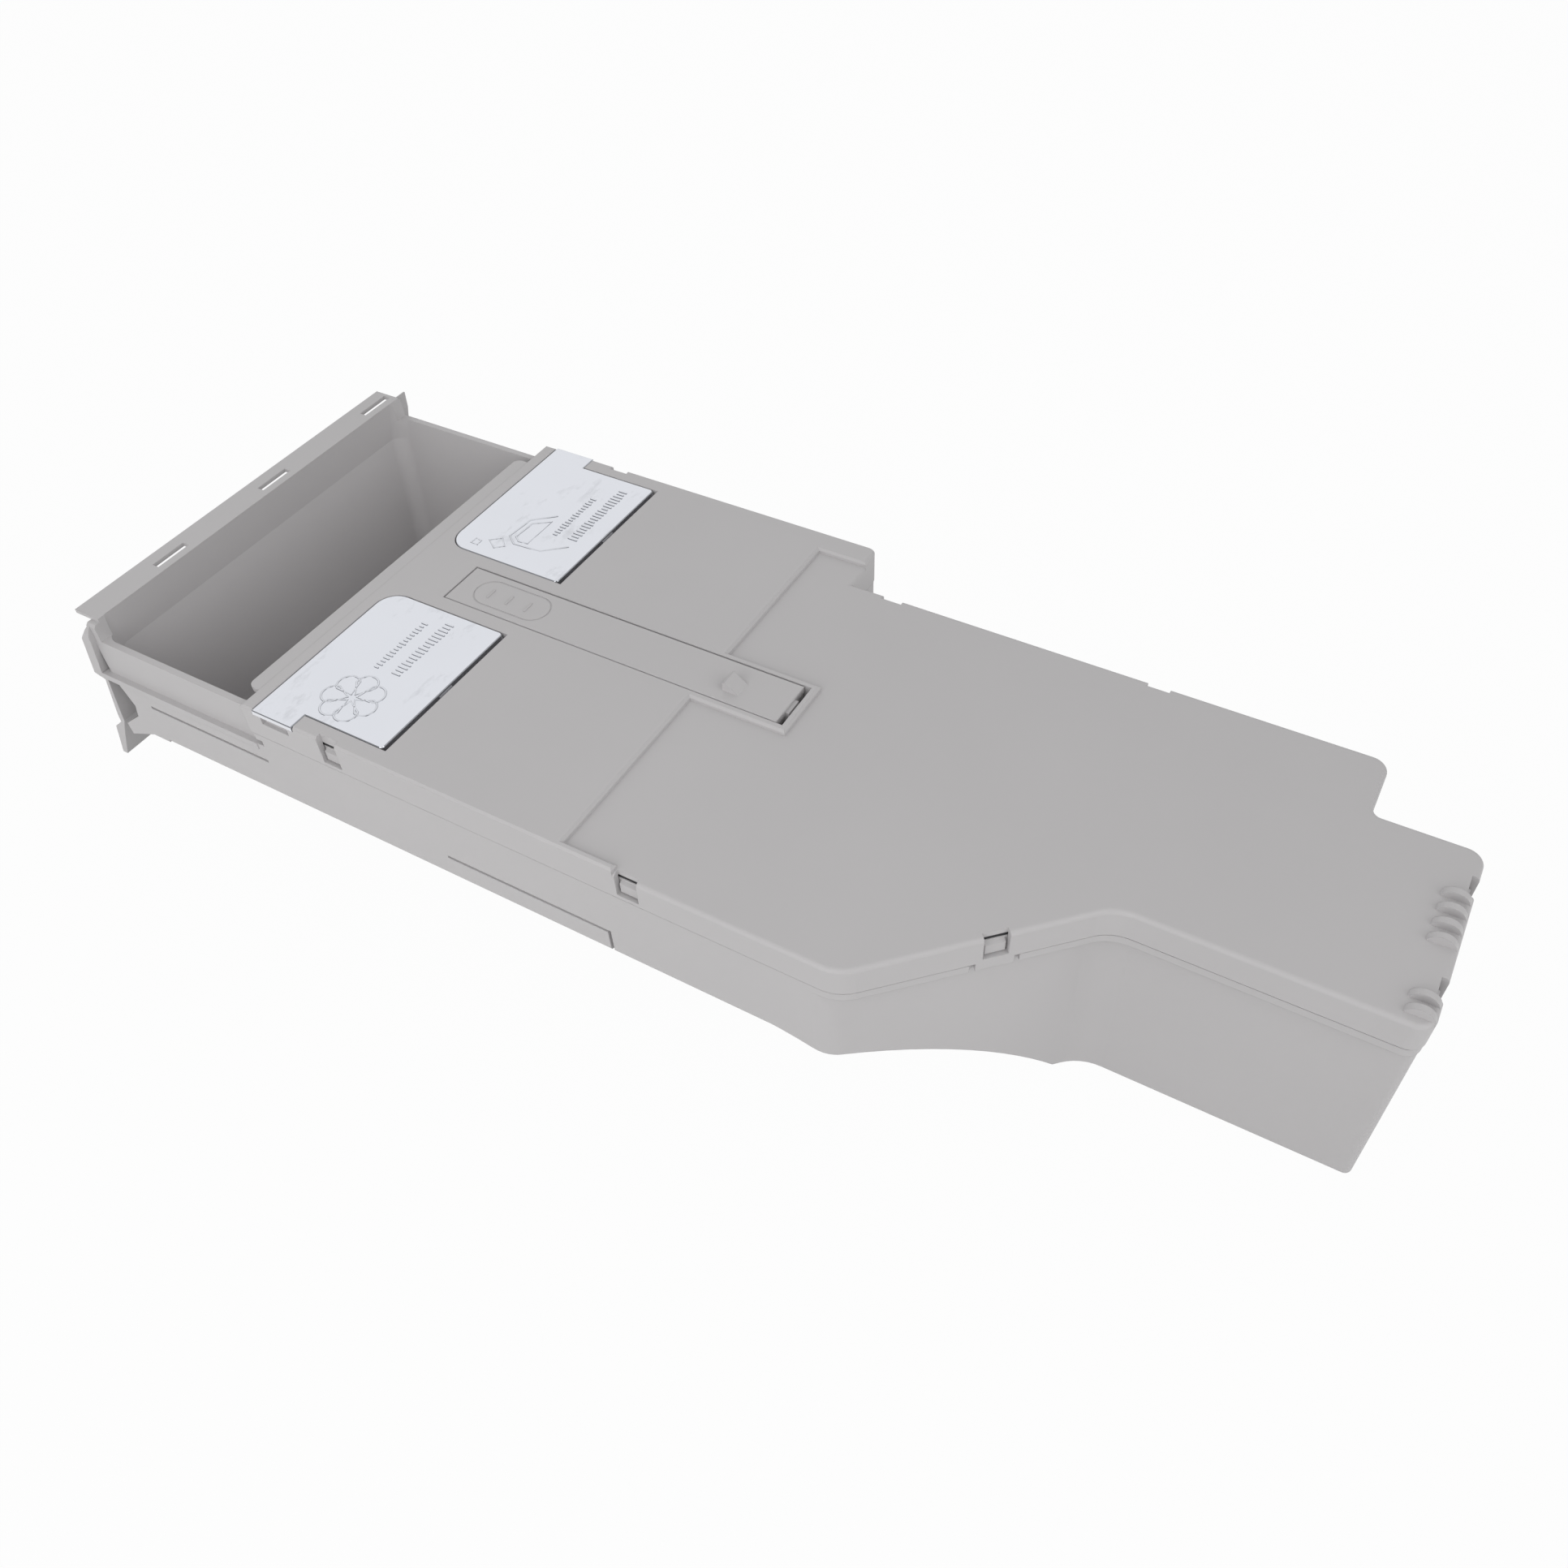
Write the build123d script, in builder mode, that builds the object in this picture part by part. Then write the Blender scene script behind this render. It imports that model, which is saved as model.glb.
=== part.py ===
"""Detergent dispenser drawer with two refillable tanks and a powder compartment.

Millimetres. X points to the user's right, Y from the front panel to the back,
Z up. The origin is under the middle of the drawer, level with the sump floor.
"""
import os
from math import atan2, cos, degrees, hypot, radians, sin

from build123d import *

# Plan of the drawer
half_width = 90.0
rear_y = 245.0
skirt_front_y = -146.0
bend_y = 92.0
neck_x = 29.5
neck_y = 154.0
bend_radius = 15.0
sump_far_x = -43.5
shoulder_y = 210.5
far_rear_x = -69.0
step_y = 12.8
rear_corner_radius = 5.8
inner_corner_radius = 3.0
block_corner_radius = 3.5

# Heights
cover_z = 90.0
deck_rise = 2.0
skirt_z = 78.6
shallow_z = 45.0
ledge_z = 98.0
rail_z = 72.3
box_rim_z = 89.0

# Walls and clearances of the mouldings
wall = 2.2
floor_thickness = 2.5
cover_plate = 2.0
skirt_wall = 2.2
rim_wall = 2.0
rim_gap = 0.3
seam_gap = 0.6
side_gap = 0.3
lower_wall_inset = 3.3
rear_wall_reach = 2.7
flange_height = 3.2
gasket_height = 1.7
gasket_width = 1.4
running_gap = 0.05
seat_gap = 0.1
edge_round = 1.6
lower_round = 1.5

# Sloping floor between the shallow tanks and the sump
ramp_start_y = 76.0
ramp_mid_y = 112.0
ramp_mid_z = 31.5
ramp_end_y = 146.0

# Powder compartment and front panel
box_side_step = 2.2
box_wall = 2.5
box_left_step = 3.6
box_front_top_y = -220.6
crease_y = -222.5
crease_z = 81.0
box_front_low_y = -214.0
box_floor_z = 24.0
box_floor_step = 11.3
box_corner_radius = 6.0
rail_front_low_y = -211.5
rail_plate = 3.0
tank_front_y = -141.3
lip_front_y = -151.0
lip_left_margin = 14.0
lip_right_margin = 9.0
lip_thickness = 2.4
lip_drop = 0.3
lip_corner_radius = 3.0
panel_tip_y = -245.0
panel_tip_z = 21.0
ledge_front_y = -233.0
ledge_left_margin = 7.0
ledge_right_margin = 5.0
ledge_thickness = 1.6
ledge_slot_length = 15.5
ledge_slot_width = 3.2
ledge_slot_y = -225.8
ledge_slot_x = (-73.6, -11.7, 44.5)
panel_rib_x = (-45.0, 0.0, 45.0)
panel_rib = 2.5
panel_end_round = 8.0

# Runner grooves in the side walls
groove_depth = 1.6
groove_height = 1.3
front_groove = (-205.6, -144.4, 63.5)
rear_groove = (-62.0, 7.0, 55.8)

# Divider between the two tanks
divider_x = 0.0
sump_divider_x = -7.0
divider_wall = 2.0
divider_turn_y = 150.0
divider_sump_y = 163.0

# Snap clips: place on the skirt's face and the way that face looks
clip_width = 8.2
clip_gap = 0.8
clip_foot = 1.6
clip_depth = 2.4
clip_tab_half = 6.2
clip_tab_thickness = 1.4
clip_tab_gap = 0.4
flange_break_half = 8.0
hook_reach = 1.3
hook_face = 4.0
oblique_clip_x = 55.6

# Filler lids
lid_inner_x = 16.6
lid_side_margin = 7.0
lid_front_y = -140.0
lid_rear_y = -86.2
lid_thickness = 2.0
lid_gap = 0.35
lid_rear_gap = 1.9
lid_tab_rear_y = -121.4
lid_tab_reach = 0.2
lid_corner_radius = 8.5
lid_small_radius = 1.5
lid_pin_y = -88.2
lid_pin_z = 89.2
lid_pin_radius = 1.0
lid_pin_grip = 1.4
barrel_radius = 2.2
knuckle_radius = 2.75
knuckle_width = 6.8
barrel_end_gap = 0.5
trough_gap = 0.5
trough_wall = 1.0
relief_depth = 1.4
relief_margin = 3.0
relief_height = 3.5
lid_bevel = 0.3
mouth_inset = 8.0
collar_z = 80.0
collar_wall = 2.0
seal_width = 2.4
seal_offset = 1.0
seal_depth = 1.2
plug_height = 3.0
plug_wall = 1.6
plug_gap = 2.5

# Release lever
lever_half = 9.8
lever_front_y = -119.3
lever_rear_y = 25.3
lever_thickness = 3.0
lever_gap = 0.5
lever_rear_gap = 2.7
lever_rib_depth = 2.0
lever_rib = 1.8
lever_pin_y = 22.0
lever_pin_z = 87.0
lever_pin_radius = 1.5
lever_barrel_radius = 2.9
lever_bevel = 0.3
frame_x = 12.8
frame_rear_y = 30.4
tongue_half = 3.5
tongue_reach = 1.4
well_floor_z = 72.0
well_wall = 2.0
pad_half_width = 7.0
pad_front_y = -111.5
pad_rear_y = -78.0
pad_groove = 0.5
pad_groove_depth = 0.2
pad_bar_y = (-104.3, -95.7, -87.0)
pad_bar_x = 0.6
pad_bar_length = 5.0
pad_bar_width = 0.8
pad_bar_height = 0.3
nub_half = 3.3
nub_x = 1.8
nub_front_y = 1.0
nub_crest_y = 2.2
nub_rear_y = 7.6
nub_height = 4.2
spring_y = -30.0
spring_radius = 4.0
spring_wire = 0.6
spring_turns = 6
spring_seat = 0.1

# Raised deck at the front of the cover
deck_rear_y = -7.5
deck_left_margin = 10.0
deck_right_margin = 3.0
deck_bevel = 0.9

# Crescent fins at the rear edge of the cover
fin_x = (-21.4, -15.2, -9.0, -2.9, 19.2, 24.8)
fin_length = 9.0
fin_rise = 3.2
fin_thickness = 2.4

# Outlet valves in the sump's rear wall
valve_z = 15.0
outlet_radius = 4.5
cage_radius = 7.5
cage_wall = 1.3
cage_length = 17.0
boss_wall = 2.0
boss_length = 7.0
poppet_head_radius = 5.6
poppet_head = 3.0
poppet_stem_radius = 1.6
poppet_travel = 4.0
ring_radius = 4.95
ring_wire = 0.55
ring_gap = 0.3
cage_slot = 5.0
poppet_stem_out = 2.0
valve_spring_radius = 3.6
valve_spring_wire = 0.4
valve_spring_turns = 6

# Level floats in the sump
float_pin_y = 178.0
float_pin_z = 70.0
float_pin_radius = 1.5
float_barrel_radius = 3.2
float_barrel_half = 5.0
float_arm = 44.0
float_arm_width = 4.0
float_hang = 50.0
float_half_x = 10.0
float_half_y = 11.0
float_half_z = 8.0
float_round = 2.5
float_boss_radius = 3.5
float_boss_depth = 3.0
boss_root = 0.5
magnet_radius = 4.0
magnet_height = 3.0

# Sizes that follow from the ones above
deck_z = cover_z + deck_rise
cover_under_z = cover_z - cover_plate
flange_top_z = skirt_z - seam_gap
flange_z = flange_top_z - flange_height
rim_z = cover_under_z - gasket_height
rim_inset = skirt_wall + rim_gap
skirt_height = cover_z - skirt_z
tank_inset = lower_wall_inset + wall
box_half = half_width - box_side_step
box_inner_half = box_half - box_wall
box_floor_half = box_inner_half - box_floor_step
box_slope = box_floor_step / (box_rim_z - box_floor_z)
lip_left_x = lip_left_margin - half_width
lip_right_x = half_width - lip_right_margin
ledge_left_x = ledge_left_margin - half_width
ledge_right_x = half_width - ledge_right_margin
lid_outer_x = half_width - lid_side_margin
deck_left_x = deck_left_margin - half_width
deck_right_x = half_width - deck_right_margin
side_x = half_width - side_gap
lid_z = deck_z - lid_thickness
seat_z = lid_z - seat_gap
lid_pin_bore = lid_pin_radius + running_gap
mouth_rear_y = lid_rear_y - mouth_inset - 1.8
trough_front_y = lid_pin_y - knuckle_radius - trough_gap
trough_floor_z = lid_pin_z - knuckle_radius - trough_gap
lever_pin_half = lever_half + lever_gap + well_wall - 0.4
rear_wall_in_y = rear_y - tank_inset + rear_wall_reach
sump_left_x = sump_far_x + tank_inset
sump_right_x = neck_x - tank_inset
detergent_x = (sump_left_x + sump_divider_x - divider_wall / 2) / 2
softener_x = (sump_right_x + sump_divider_x + divider_wall / 2) / 2

# Side views of the front panel, of the cheeks beside it and of the ribs behind it
panel_profile = [
    (crease_y - 0.9, ledge_z - ledge_thickness),
    (crease_y - 1.3, box_rim_z),
    (crease_y - 5.2, rail_z),
    (crease_y - 3.6, rail_z - 3),
    (crease_y - 8.4, shallow_z),
    (crease_y - 12.5, shallow_z - 8),
    (panel_tip_y + 2.6, panel_tip_z),
    (panel_tip_y, panel_tip_z),
    (panel_tip_y + 5.6, shallow_z - 6.6),
    (crease_y - 11.2, shallow_z - 2),
    (crease_y - 10.6, shallow_z + 2.7),
    (crease_y - 5.3, rail_z - 3.4),
    (crease_y - 10.5, rail_z - 1.9),
    (crease_y - 6.1, box_rim_z + 0.4),
    (crease_y - 3.9, box_rim_z + 3.4),
    (crease_y - 1.6, ledge_z - ledge_thickness),
]
cheek_profile = [
    (crease_y + 17.5, rail_z - 2),
    (crease_y + 8.8, rail_z - 2),
    (crease_y + 3.7, shallow_z + 7.8),
    (crease_y - 7.4, shallow_z - 0.9),
    (crease_y - 7.0, shallow_z - 6.7),
    (crease_y + 8.5, shallow_z),
    (crease_y + 17.5, shallow_z),
]
rib_profile = [
    (crease_y - 4.0, rail_z),
    (crease_y + 5, rail_z),
    (box_front_low_y, box_floor_z + 4),
    (crease_y - 16.0, shallow_z - 13),
    (crease_y - 9.5, shallow_z + 1),
]

float_walls = {
    "detergent": (far_rear_x + tank_inset, sump_divider_x - divider_wall / 2),
    "softener": (sump_divider_x + divider_wall / 2, sump_right_x),
}

# Clips over the flush side walls, and clips with a tab of the cover below them
side_clips = [
    (half_width, -106.0, 0.0),
    (half_width, 17.6, 0.0),
    (-half_width, -107.0, 180.0),
]
oblique_angle = degrees(atan2(half_width - neck_x, neck_y - bend_y))
oblique_slope = (neck_y - bend_y) / (half_width - neck_x)
oblique_clip_y = bend_y + (half_width - oblique_clip_x) * oblique_slope
tab_clips = [
    (oblique_clip_x, oblique_clip_y, oblique_angle),
    (13.5, rear_y, 90.0),
    (-28.0, rear_y, 90.0),
    (far_rear_x, 132.8, 180.0),
    (far_rear_x, 30.3, 180.0),
]


def plan(inset):
    """The drawer's outline seen from above, pulled in by inset."""
    corners = [
        (half_width, skirt_front_y, 0),
        (half_width, bend_y, bend_radius),
        (neck_x, neck_y, bend_radius),
        (neck_x, rear_y, rear_corner_radius),
        (sump_far_x, rear_y, rear_corner_radius),
        (sump_far_x, shoulder_y, inner_corner_radius),
        (far_rear_x, shoulder_y, rear_corner_radius),
        (far_rear_x, step_y, 0),
        (-half_width, step_y, block_corner_radius),
        (-half_width, skirt_front_y, 0),
    ]
    with BuildSketch() as outline:
        with BuildLine():
            FilletPolyline(
                *[(x, y) for x, y, radius in corners],
                radius=[radius for x, y, radius in corners],
                close=True,
            )
        make_face()
        if inset > 0:
            offset(amount=-inset, kind=Kind.INTERSECTION, mode=Mode.REPLACE)
    return outline.sketch


def wall_plan(inset):
    """The tanks' walls from above: inset as plan, but flush at the sides and rear."""
    flush = inset - lower_wall_inset + side_gap
    along_x, along_y = neck_x - half_width, neck_y - bend_y
    slant = hypot(along_x, along_y)
    bend_in_y = bend_y - (inset - flush * along_y / slant) * slant / -along_x
    neck_in_y = neck_y - inset * (slant - along_y) / -along_x
    round_in = bend_radius - inset
    corner_in = rear_corner_radius - inset
    rear_in_y = rear_y - inset + rear_wall_reach
    corners = [
        (half_width - flush, skirt_front_y + inset, 0),
        (half_width - flush, bend_in_y, round_in),
        (neck_x - inset, neck_in_y, bend_radius + inset),
        (neck_x - inset, rear_in_y, corner_in),
        (sump_far_x + inset, rear_in_y, corner_in),
        (sump_far_x + inset, shoulder_y - inset, inner_corner_radius + inset),
        (far_rear_x + inset, shoulder_y - inset, corner_in),
        (far_rear_x + inset, step_y - flush, 0),
        (flush - half_width, step_y - flush, block_corner_radius - flush),
        (flush - half_width, skirt_front_y + inset, 0),
    ]
    with BuildSketch() as outline:
        with BuildLine():
            FilletPolyline(
                *[(x, y) for x, y, radius in corners],
                radius=[radius for x, y, radius in corners],
                close=True,
            )
        make_face()
    return outline.sketch


def above_floor(rise):
    """Side view of everything above the drawer's floor, raised by rise."""
    front_y = rail_front_low_y
    with BuildSketch(Plane.YZ) as side:
        with BuildLine():
            Line((front_y, shallow_z + rise), (ramp_start_y, shallow_z + rise))
            ThreePointArc(
                (ramp_start_y, shallow_z + rise),
                (ramp_mid_y, ramp_mid_z + rise),
                (ramp_end_y, rise),
            )
            Polyline(
                (ramp_end_y, rise),
                (rear_y + 1, rise),
                (rear_y + 1, ledge_z),
                (box_front_top_y - box_wall, ledge_z),
                (crease_y - box_wall, crease_z),
                (front_y, shallow_z + rise),
            )
        make_face()
    return side.sketch


def box_between(low, high):
    """A plain block between two opposite corners, made outside the part."""
    size = [b - a for a, b in zip(low, high)]
    middle = [(a + b) / 2 for a, b in zip(low, high)]
    return Pos(*middle) * Box(*size, mode=Mode.PRIVATE)


def powder_shape(grow):
    """The powder compartment's room, narrower towards its floor, grown all round."""
    top_z = ledge_z + 1
    top_half = box_inner_half + box_slope * (top_z - box_rim_z) + grow
    floor_half = box_floor_half + grow
    with BuildPart() as room:
        with BuildSketch(Plane.YZ):
            with BuildLine():
                Polyline(
                    (box_front_top_y - grow, top_z),
                    (crease_y - grow, crease_z),
                    (box_front_low_y - grow, box_floor_z - grow),
                    (tank_front_y - wall + grow, box_floor_z - grow),
                    (tank_front_y - wall + grow, top_z),
                    close=True,
                )
            make_face()
        extrude(amount=top_half, both=True)
        with BuildSketch(Plane.XZ):
            with BuildLine():
                Polyline(
                    (box_left_step - top_half, top_z),
                    (box_left_step - floor_half, box_floor_z - grow),
                    (floor_half, box_floor_z - grow),
                    (top_half, top_z),
                    close=True,
                )
            make_face()
        extrude(amount=rear_y, both=True, mode=Mode.INTERSECT)
        top = room.faces().sort_by(Axis.Z)[-1]
        crease = room.edges().filter_by(Axis.X).sort_by(Axis.Y)[:2]
        fillet(room.edges() - top.edges() - crease, radius=box_corner_radius + grow)
    return room.part


def clip_plane(x, y, angle):
    """Upright plane across a clip: its x looks outwards and its y upwards."""
    across, along = cos(radians(angle)), sin(radians(angle))
    return Plane(origin=(x, y, 0), x_dir=(across, along, 0), z_dir=(along, -across, 0))


def both_sides(shape):
    """The shape and its mirror image across the drawer's middle."""
    return [shape, mirror(shape, about=Plane.YZ, mode=Mode.PRIVATE)]


def lid_plan(side, grow, reach):
    """A lid's outline from above, grown all round, its tab reaching out by reach."""
    inner = lid_inner_x - grow
    outer = lid_outer_x + grow
    front = lid_front_y - grow
    rear = lid_rear_y + grow
    tab_rear = lid_tab_rear_y + grow
    corners = [
        (inner, front, lid_corner_radius + grow),
        (half_width + reach, front, 0),
        (half_width + reach, tab_rear, 0),
        (outer, tab_rear, 0),
        (outer, rear, lid_small_radius),
        (inner, rear, lid_small_radius),
    ]
    with BuildSketch() as outline:
        with BuildLine():
            FilletPolyline(
                *[(side * x, y) for x, y, radius in corners],
                radius=[radius for x, y, radius in corners],
                close=True,
            )
        make_face()
    return outline.sketch


def mouth_block(side, grow, low_z, high_z):
    """A block over a tank's filling mouth, grown all round."""
    low_x = lid_inner_x + mouth_inset - grow
    high_x = lid_outer_x - mouth_inset + grow
    if side < 0:
        low_x, high_x = -high_x, -low_x
    return box_between(
        (low_x, lid_front_y + mouth_inset - grow, low_z),
        (high_x, mouth_rear_y + grow, high_z),
    )


def trough_block(side, grow, high_z):
    """The channel that a lid's hinge turns in, or the block around it."""
    low_x = lid_inner_x - lid_gap - grow
    high_x = lid_outer_x + lid_gap + grow
    if side < 0:
        low_x, high_x = -high_x, -low_x
    return box_between(
        (low_x, trough_front_y - min(grow, trough_wall), trough_floor_z - grow),
        (high_x, lid_rear_y + lid_rear_gap + grow, high_z),
    )


def lever_well(grow, low_z, high_z):
    """The long opening that the release lever lies in, grown all round."""
    return box_between(
        (-lever_half - lever_gap - grow, lever_front_y - lever_gap - grow, low_z),
        (lever_half + lever_gap + grow, lever_rear_y + lever_rear_gap + grow, high_z),
    )


def rear_plane(x, distance):
    """Upright plane that looks forwards, distance inside the sump's rear wall."""
    return Plane((x, rear_wall_in_y - distance, valve_z), x_dir=(1, 0, 0), z_dir=(0, -1, 0))


def coil(radius, wire, height, turns):
    """A compression spring standing on the origin along Z."""
    with BuildPart() as spring:
        with BuildLine():
            rise = height - 2 * wire
            turn = Helix(pitch=rise / turns, height=rise, radius=radius, center=(0, 0, wire))
        with BuildSketch(Plane(origin=turn @ 0, z_dir=turn % 0)):
            Circle(wire)
        sweep(path=turn)
    return spring.part


os.makedirs("parts", exist_ok=True)


def save(builder, label):
    """Give the finished piece its name and write it."""
    builder.part.label = label
    export_step(builder.part, f"parts/{label}.step")


# Room inside the two tanks, parted by the divider
with BuildPart() as tank_room:
    with BuildSketch(Plane.XY):
        add(wall_plan(tank_inset))
    extrude(amount=flange_z - wall)
    with BuildSketch(Plane.XY.offset(flange_z - wall)):
        add(plan(tank_inset))
    extrude(amount=ledge_z - flange_z + wall)
    with BuildSketch(Plane.XY):
        with BuildLine():
            Polyline(
                (divider_x, skirt_front_y),
                (divider_x, divider_turn_y),
                (sump_divider_x, divider_sump_y),
                (sump_divider_x, rear_y),
            )
        trace(line_width=divider_wall)
        with Locations((0, (skirt_front_y + tank_front_y) / 2)):
            Rectangle(2 * half_width, tank_front_y - skirt_front_y)
    extrude(amount=ledge_z, mode=Mode.SUBTRACT)
    extrude(
        to_extrude=above_floor(floor_thickness),
        amount=half_width,
        both=True,
        mode=Mode.INTERSECT,
    )

# One moulding: tanks, powder compartment, runners and front panel
with BuildPart() as drawer_body:
    with BuildSketch(Plane.XY):
        add(wall_plan(lower_wall_inset))
        with Locations((0, (panel_tip_y + tank_front_y) / 2)):
            Rectangle(2 * side_x, tank_front_y - panel_tip_y)
    extrude(amount=rail_z)
    extrude(
        to_extrude=above_floor(0),
        amount=half_width,
        both=True,
        mode=Mode.INTERSECT,
    )
    # Soft lower edges of the shallow part and of the sump
    for level in (shallow_z, 0):
        floor_face = drawer_body.faces().filter_by(Axis.Z).filter_by_position(
            Axis.Z, level - 0.1, level + 0.1
        )[0]
        crest = floor_face.edges().filter_by(Axis.X).sort_by(Axis.Y)
        ends = crest[:1] + crest[-1:] if level > 0 else crest[:1]
        fillet(floor_face.edges() - ends, radius=lower_round)
    # The powder compartment hangs between the side plates, open from below
    add(
        box_between(
            (rail_plate - side_x, panel_tip_y, shallow_z - 1),
            (side_x - rail_plate, tank_front_y - wall - box_wall, rail_z - rail_plate),
        ),
        mode=Mode.SUBTRACT,
    )
    bowl_limit = box_between((-side_x, panel_tip_y, 0), (side_x, tank_front_y + box_wall, rail_z))
    add(powder_shape(box_wall) & bowl_limit)
    # Upper walls of the tanks, as far as the flange under the cover's skirt
    with BuildSketch(Plane.XY.offset(rail_z)):
        add(wall_plan(lower_wall_inset))
    extrude(amount=flange_top_z - rail_z)
    with BuildSketch(Plane.XY.offset(flange_z)):
        add(plan(side_gap))
    extrude(amount=flange_height)
    # Rim inside the cover's skirt
    with BuildSketch(Plane.XY.offset(flange_z)):
        add(plan(rim_inset))
    extrude(amount=rim_z - flange_z)
    # Upper walls of the powder compartment
    add(
        box_between(
            (box_left_step - box_half, crease_y - box_wall, rail_z - 1),
            (box_half, skirt_front_y - rim_gap, box_rim_z),
        )
    )
    add(
        box_between(
            (-side_x - 0.3, crease_y - 5, rail_z - rail_plate),
            (side_x + 0.3, skirt_front_y - rim_gap, rail_z),
        )
    )
    # Front panel with its hooked foot
    with BuildSketch(Plane.YZ):
        with BuildLine():
            Polyline(*panel_profile, close=True)
        make_face()
    extrude(amount=half_width, both=True)
    add(
        box_between(
            (box_left_step - box_half, crease_y - box_wall, box_rim_z - 1),
            (box_half, box_front_top_y, ledge_z - ledge_thickness),
        )
    )
    # Its top corner on the right is rounded
    corner_x, corner_z = half_width - panel_end_round, ledge_z - panel_end_round
    corner = box_between(
        (corner_x, panel_tip_y, corner_z),
        (half_width + 1, box_front_top_y + 1, ledge_z),
    )
    rod = Rot(90, 0, 0) * Cylinder(panel_end_round, 2 * rear_y, mode=Mode.PRIVATE)
    add(corner - Pos(corner_x, panel_tip_y, corner_z) * rod, mode=Mode.SUBTRACT)
    # Slotted ledge along the panel's top
    add(
        box_between(
            (ledge_left_x, ledge_front_y, ledge_z - ledge_thickness),
            (ledge_right_x, box_front_top_y, ledge_z),
        )
    )
    # Side cheeks reach forward past the sloping wall to the panel
    with BuildSketch(Plane.YZ.offset(-side_x)):
        with BuildLine():
            Polyline(*cheek_profile, close=True)
        make_face()
    left_cheek = extrude(amount=box_wall)
    mirror(left_cheek, about=Plane.YZ)
    for x in panel_rib_x:
        with BuildSketch(Plane.YZ.offset(x - panel_rib / 2)):
            with BuildLine():
                Polyline(*rib_profile, close=True)
            make_face()
        extrude(amount=panel_rib)
    # Hollow it out
    add(tank_room.part, mode=Mode.SUBTRACT)
    add(powder_shape(0), mode=Mode.SUBTRACT)
    # Ledge slots for the fascia's hooks
    with BuildSketch(Plane.XY.offset(ledge_z)):
        with Locations(*[(x, ledge_slot_y) for x in ledge_slot_x]):
            Rectangle(ledge_slot_length, ledge_slot_width)
    extrude(amount=-ledge_thickness, mode=Mode.SUBTRACT)
    # The divider is low under the lever's well
    divider_notch = lever_well(well_wall + 1, well_floor_z - well_wall - rim_gap, ledge_z)
    add(divider_notch, mode=Mode.SUBTRACT)
    # The flange is broken where a tab of the cover hangs over it
    for x, y, angle in tab_clips:
        with BuildSketch(clip_plane(x, y, angle)):
            with BuildLine():
                Polyline(
                    (-clip_tab_thickness - clip_tab_gap, flange_z - 0.1),
                    (1, flange_z - 0.1),
                    (1, flange_top_z + 0.1),
                    (-clip_tab_thickness - clip_tab_gap, flange_top_z + 0.1),
                    close=True,
                )
            make_face()
        extrude(amount=flange_break_half, both=True, mode=Mode.SUBTRACT)
    # Clip hooks on the rim
    hook_z = skirt_z + clip_foot + clip_gap
    for x, y, angle in side_clips + tab_clips:
        with BuildSketch(clip_plane(x, y, angle)):
            with BuildLine():
                Polyline(
                    (-rim_inset - rim_wall / 2, hook_z),
                    (-rim_inset + hook_reach, hook_z),
                    (-rim_inset + hook_reach, hook_z + hook_face),
                    (-rim_inset, rim_z - 0.6),
                    (-rim_inset - rim_wall / 2, rim_z - 0.6),
                    close=True,
                )
            make_face()
        extrude(amount=clip_width / 2 - clip_gap, both=True)
    # Runner grooves in both side walls
    for start_y, end_y, z in (front_groove, rear_groove):
        for groove in both_sides(
            box_between(
                (side_x - groove_depth, start_y, z - groove_height / 2),
                (side_x + 1, end_y, z + groove_height / 2),
            )
        ):
            add(groove, mode=Mode.SUBTRACT)
    for groove in both_sides(
        box_between(
            (side_x - groove_depth, rear_groove[1] - groove_height, shallow_z - 1),
            (side_x + 1, rear_groove[1], rear_groove[2]),
        )
    ):
        add(groove, mode=Mode.SUBTRACT)
    # Outlet holes at the back of the sump, with a boss inside for the valve cage
    for x in (detergent_x, softener_x):
        with BuildSketch(rear_plane(x, -boss_root)):
            Circle(cage_radius + running_gap + boss_wall)
        extrude(amount=boss_length + boss_root)
        with BuildSketch(rear_plane(x, 0)):
            Circle(cage_radius + running_gap)
        extrude(amount=boss_length, mode=Mode.SUBTRACT)
        with BuildSketch(rear_plane(x, -tank_inset - 1)):
            Circle(outlet_radius)
        extrude(amount=tank_inset + 2, mode=Mode.SUBTRACT)
    # Bosses for the float pins, on the divider and on the outer walls
    for low_x, high_x in float_walls.values():
        for face_x, turn in ((low_x, 1), (high_x, -1)):
            with BuildSketch(Plane.YZ.offset(face_x - turn * boss_root)):
                with Locations((float_pin_y, float_pin_z)):
                    Circle(float_boss_radius)
            extrude(amount=turn * (float_boss_depth + boss_root))
            with BuildSketch(Plane.YZ.offset(face_x)):
                with Locations((float_pin_y, float_pin_z)):
                    Circle(float_pin_radius)
            extrude(amount=turn * float_boss_depth, mode=Mode.SUBTRACT)
save(drawer_body, "drawer_body")

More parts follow.
